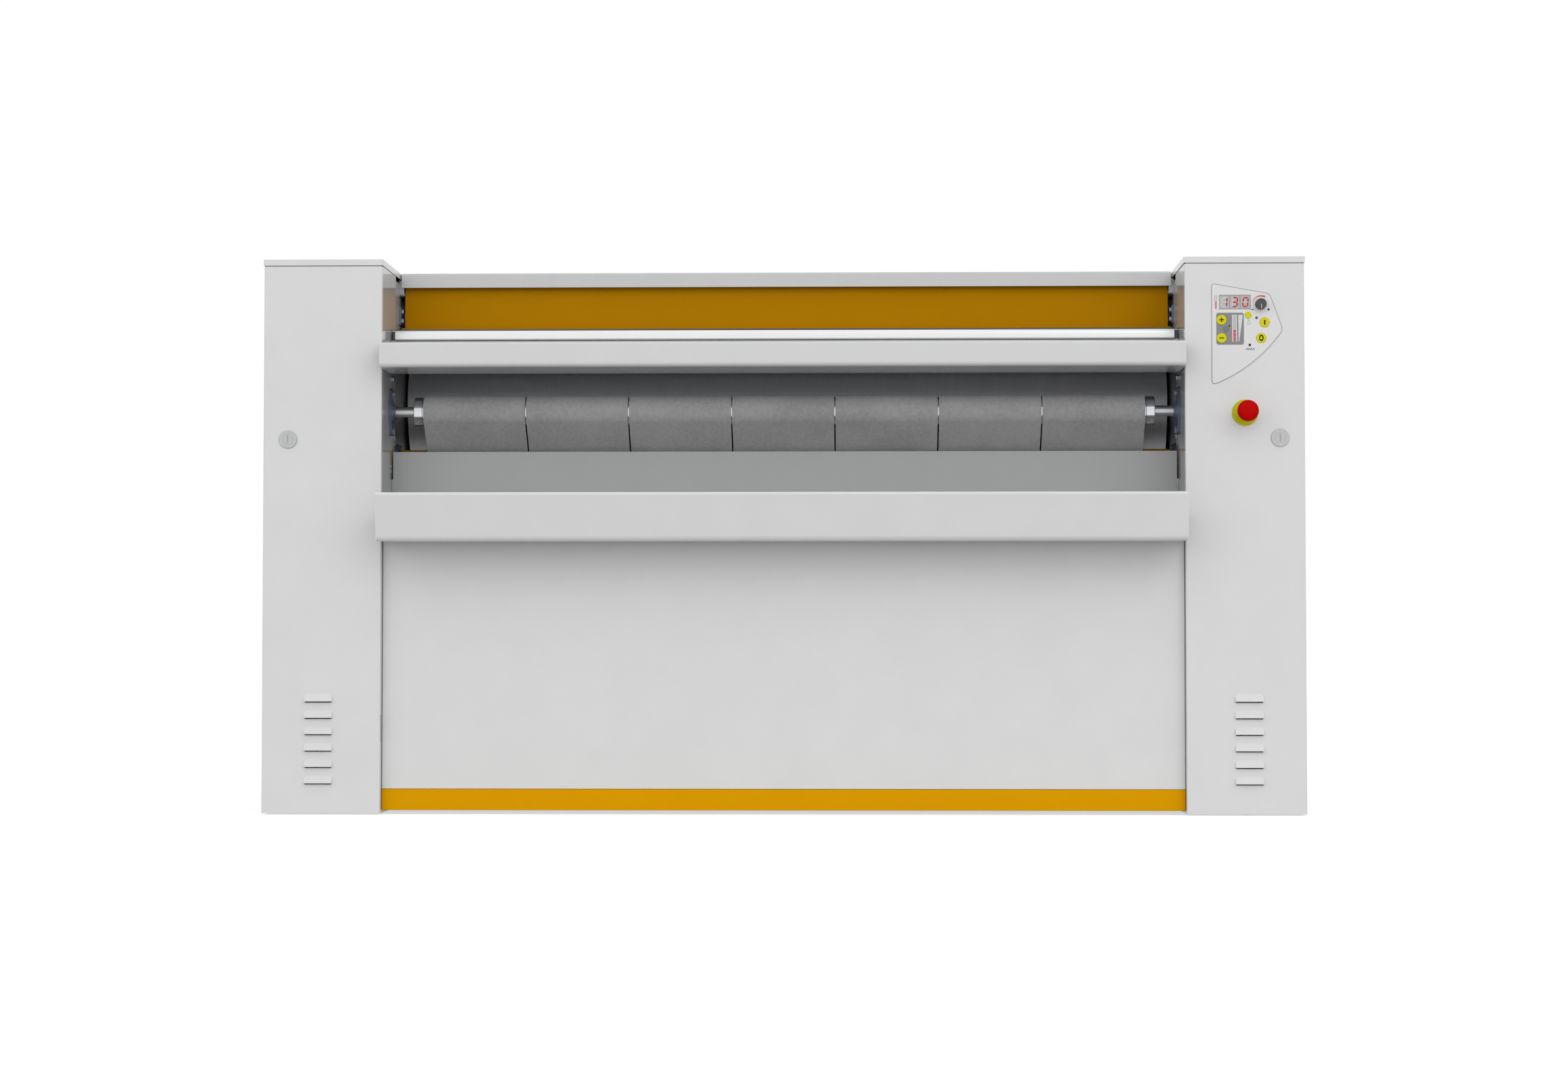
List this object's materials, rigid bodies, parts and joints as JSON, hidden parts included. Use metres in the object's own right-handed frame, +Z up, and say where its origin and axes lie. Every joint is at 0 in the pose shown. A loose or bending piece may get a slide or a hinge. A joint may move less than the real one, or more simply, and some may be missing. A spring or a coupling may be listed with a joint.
{
  "type": "flatwork ironer",
  "caption": "Floor-standing flatwork ironer with a heated cylinder wrapped by ironing belts, a feed shelf, a return tray and a control panel.",
  "frame": {"origin": "on the floor, under the middle of the bounding box", "axes": "+X along the cylinder towards the control column, +Y from the operator towards the back, +Z up"},
  "size_m": [1.933, 0.749, 1.0314],
  "materials": {
    "grey_paint": "fine powder coat, light grey, satin",
    "ochre_paint": "powder coat, ochre yellow, satin",
    "zinc_steel": "zinc plated, slightly blue",
    "stainless": "brushed along X",
    "chrome": "ground and polished",
    "roller_steel": "turned, bright ends",
    "cast_iron": "painted casting, blue grey",
    "belt_felt": "needled aramid felt, grey",
    "chain_steel": "oiled",
    "motor_paint": "hammer finish",
    "circuit": "circuit board laminate",
    "black_plastic": "fine texture",
    "grey_plastic": "window over the display",
    "overlay_film": "printed polyester film, matt",
    "key_yellow": "yellow cap with a black symbol",
    "stop_yellow": "moulded, yellow",
    "stop_red": "moulded, red",
    "dark_grey_plastic": "moulded knob with a white line",
    "lock_metal": "satin die cast",
    "rubber": "moulded"
  },
  "bodies": {
    "frame": {"left_side_frame": "zinc_steel", "right_side_frame": "zinc_steel", "left_inner_casing": "grey_paint", "right_inner_casing": "grey_paint", "left_outer_panel": "grey_paint", "right_outer_panel": "grey_paint", "left_rear_panel": "grey_paint", "right_rear_panel": "grey_paint", "left_top_cap": "grey_paint", "right_top_cap": "grey_paint", "front_panel": "grey_paint", "plinth_strip": "ochre_paint", "feed_shelf": "grey_paint", "feed_nose_bar": "stainless", "feed_plate": "stainless", "linen_tray": "grey_paint", "top_cover": "grey_paint", "rear_cover": "grey_paint", "cross_members": "zinc_steel", "lower_beam": "ochre_paint", "cover_brackets": "zinc_steel", "ironing_belts": "belt_felt", "heating_elements": "chain_steel", "cylinder_bearings": "cast_iron", "roller_bearings": "cast_iron", "wall_bolts": "zinc_steel", "drive_chain": "chain_steel", "gearmotor": "motor_paint", "exhaust_fan": "zinc_steel", "electrical_board": "circuit", "cable_gland": "black_plastic", "levelling_feet": "rubber", "door_hinges": "zinc_steel"},
    "cylinder": {"heated_cylinder": "chrome", "cylinder_sprocket": "chain_steel"},
    "feed_roll": {"feed_roller": "roller_steel"},
    "outfeed_roll": {"outfeed_roller": "roller_steel"},
    "return_roll": {"return_roller": "roller_steel"},
    "rear_lower_roll": {"rear_lower_roller": "roller_steel"},
    "rear_upper_roll": {"rear_upper_roller": "roller_steel"},
    "motor_output": {"motor_sprocket": "chain_steel"},
    "fan_rotor": {"fan_impeller": "zinc_steel"},
    "guard": {"hand_guard": "ochre_paint"},
    "door_l": {"left_door": "grey_paint", "left_lock_barrel": "lock_metal"},
    "lock_l": {"left_lock_core": "lock_metal"},
    "door_r": {"right_door": "grey_paint", "right_lock_barrel": "lock_metal", "control_overlay": "overlay_film", "display_module": "grey_plastic", "emergency_stop_base": "stop_yellow"},
    "lock_r": {"right_lock_core": "lock_metal"},
    "knob": {"control_knob": "dark_grey_plastic"},
    "faster": {"key_faster": "key_yellow"},
    "slower": {"key_slower": "key_yellow"},
    "set": {"key_set": "key_yellow"},
    "start": {"key_start": "key_yellow"},
    "stop": {"key_stop": "key_yellow"},
    "stop_plunger": {"emergency_stop_plunger": "black_plastic"},
    "stop_cap": {"emergency_stop_cap": "stop_red"}
  },
  "joints": [
    {"name": "cylinder_spin", "type": "hinge", "parent": "frame", "child": "cylinder", "pos_m": [0, 0.165, 0.788], "axis": [-1, 0, 0], "continuous": true},
    {"name": "feed_roller_spin", "type": "hinge", "parent": "frame", "child": "feed_roll", "pos_m": [0, 0.013, 0.95], "axis": [-1, 0, 0], "continuous": true},
    {"name": "outfeed_roller_spin", "type": "hinge", "parent": "frame", "child": "outfeed_roll", "pos_m": [0, -0.16, 0.754], "axis": [-1, 0, 0], "continuous": true},
    {"name": "return_roller_spin", "type": "hinge", "parent": "frame", "child": "return_roll", "pos_m": [0, -0.06, 0.655], "axis": [-1, 0, 0], "continuous": true},
    {"name": "rear_lower_roller_spin", "type": "hinge", "parent": "frame", "child": "rear_lower_roll", "pos_m": [0, 0.28, 0.623], "axis": [-1, 0, 0], "continuous": true},
    {"name": "rear_upper_roller_spin", "type": "hinge", "parent": "frame", "child": "rear_upper_roll", "pos_m": [0, 0.28, 0.948], "axis": [-1, 0, 0], "continuous": true},
    {"name": "motor_output_spin", "type": "hinge", "parent": "frame", "child": "motor_output", "pos_m": [-0.8036, 0.165, 0.333], "axis": [-1, 0, 0], "continuous": true},
    {"name": "fan_spin", "type": "hinge", "parent": "frame", "child": "fan_rotor", "pos_m": [0.815, 0.205, 0.433], "axis": [-1, 0, 0], "continuous": true},
    {"name": "guard_push", "type": "hinge", "parent": "frame", "child": "guard", "pos_m": [0, -0.022, 0.994], "axis": [1, 0, 0], "range_deg": [0, 8], "stiffness_Nm_per_rad": 2, "springref_deg": -11.46},
    {"name": "left_door_swing", "type": "hinge", "parent": "frame", "child": "door_l", "pos_m": [-0.75, -0.2595, 0.5], "axis": [0, 0, 1], "range_deg": [0, 90]},
    {"name": "left_lock_turn", "type": "hinge", "parent": "door_l", "child": "lock_l", "pos_m": [-0.919, -0.265, 0.696], "axis": [0, 1, 0], "range_deg": [0, 90]},
    {"name": "right_door_swing", "type": "hinge", "parent": "frame", "child": "door_r", "pos_m": [0.75, -0.2595, 0.5], "axis": [0, 0, -1], "range_deg": [0, 90]},
    {"name": "right_lock_turn", "type": "hinge", "parent": "door_r", "child": "lock_r", "pos_m": [0.919, -0.265, 0.696], "axis": [0, -1, 0], "range_deg": [0, 90]},
    {"name": "knob_turn", "type": "hinge", "parent": "door_r", "child": "knob", "pos_m": [0.8844, -0.265, 0.9428], "axis": [0, 1, 0], "range_deg": [-135, 135]},
    {"name": "faster_press", "type": "slide", "parent": "door_r", "child": "faster", "axis": [0, 1, 0], "range_m": [0, 0.0008], "stiffness_N_per_m": 500},
    {"name": "slower_press", "type": "slide", "parent": "door_r", "child": "slower", "axis": [0, 1, 0], "range_m": [0, 0.0008], "stiffness_N_per_m": 500},
    {"name": "set_press", "type": "slide", "parent": "door_r", "child": "set", "axis": [0, 1, 0], "range_m": [0, 0.0008], "stiffness_N_per_m": 500},
    {"name": "start_press", "type": "slide", "parent": "door_r", "child": "start", "axis": [0, 1, 0], "range_m": [0, 0.0008], "stiffness_N_per_m": 500},
    {"name": "stop_press", "type": "slide", "parent": "door_r", "child": "stop", "axis": [0, 1, 0], "range_m": [0, 0.0008], "stiffness_N_per_m": 500},
    {"name": "stop_push", "type": "slide", "parent": "door_r", "child": "stop_plunger", "axis": [0, 1, 0], "range_m": [0, 0.006], "stiffness_N_per_m": 800},
    {"name": "stop_release", "type": "hinge", "parent": "stop_plunger", "child": "stop_cap", "pos_m": [0.8547, -0.265, 0.7423], "axis": [0, 1, 0], "range_deg": [0, 45], "stiffness_Nm_per_rad": 0.1}
  ],
  "couplings": [
    {"joint": "feed_roller_spin", "follows": "cylinder_spin", "ratio": -4.5455},
    {"joint": "outfeed_roller_spin", "follows": "cylinder_spin", "ratio": -4.5455},
    {"joint": "return_roller_spin", "follows": "cylinder_spin", "ratio": -4.5455},
    {"joint": "rear_lower_roller_spin", "follows": "cylinder_spin", "ratio": -4.5455},
    {"joint": "rear_upper_roller_spin", "follows": "cylinder_spin", "ratio": -4.5455},
    {"joint": "motor_output_spin", "follows": "cylinder_spin", "ratio": 3.8}
  ]
}
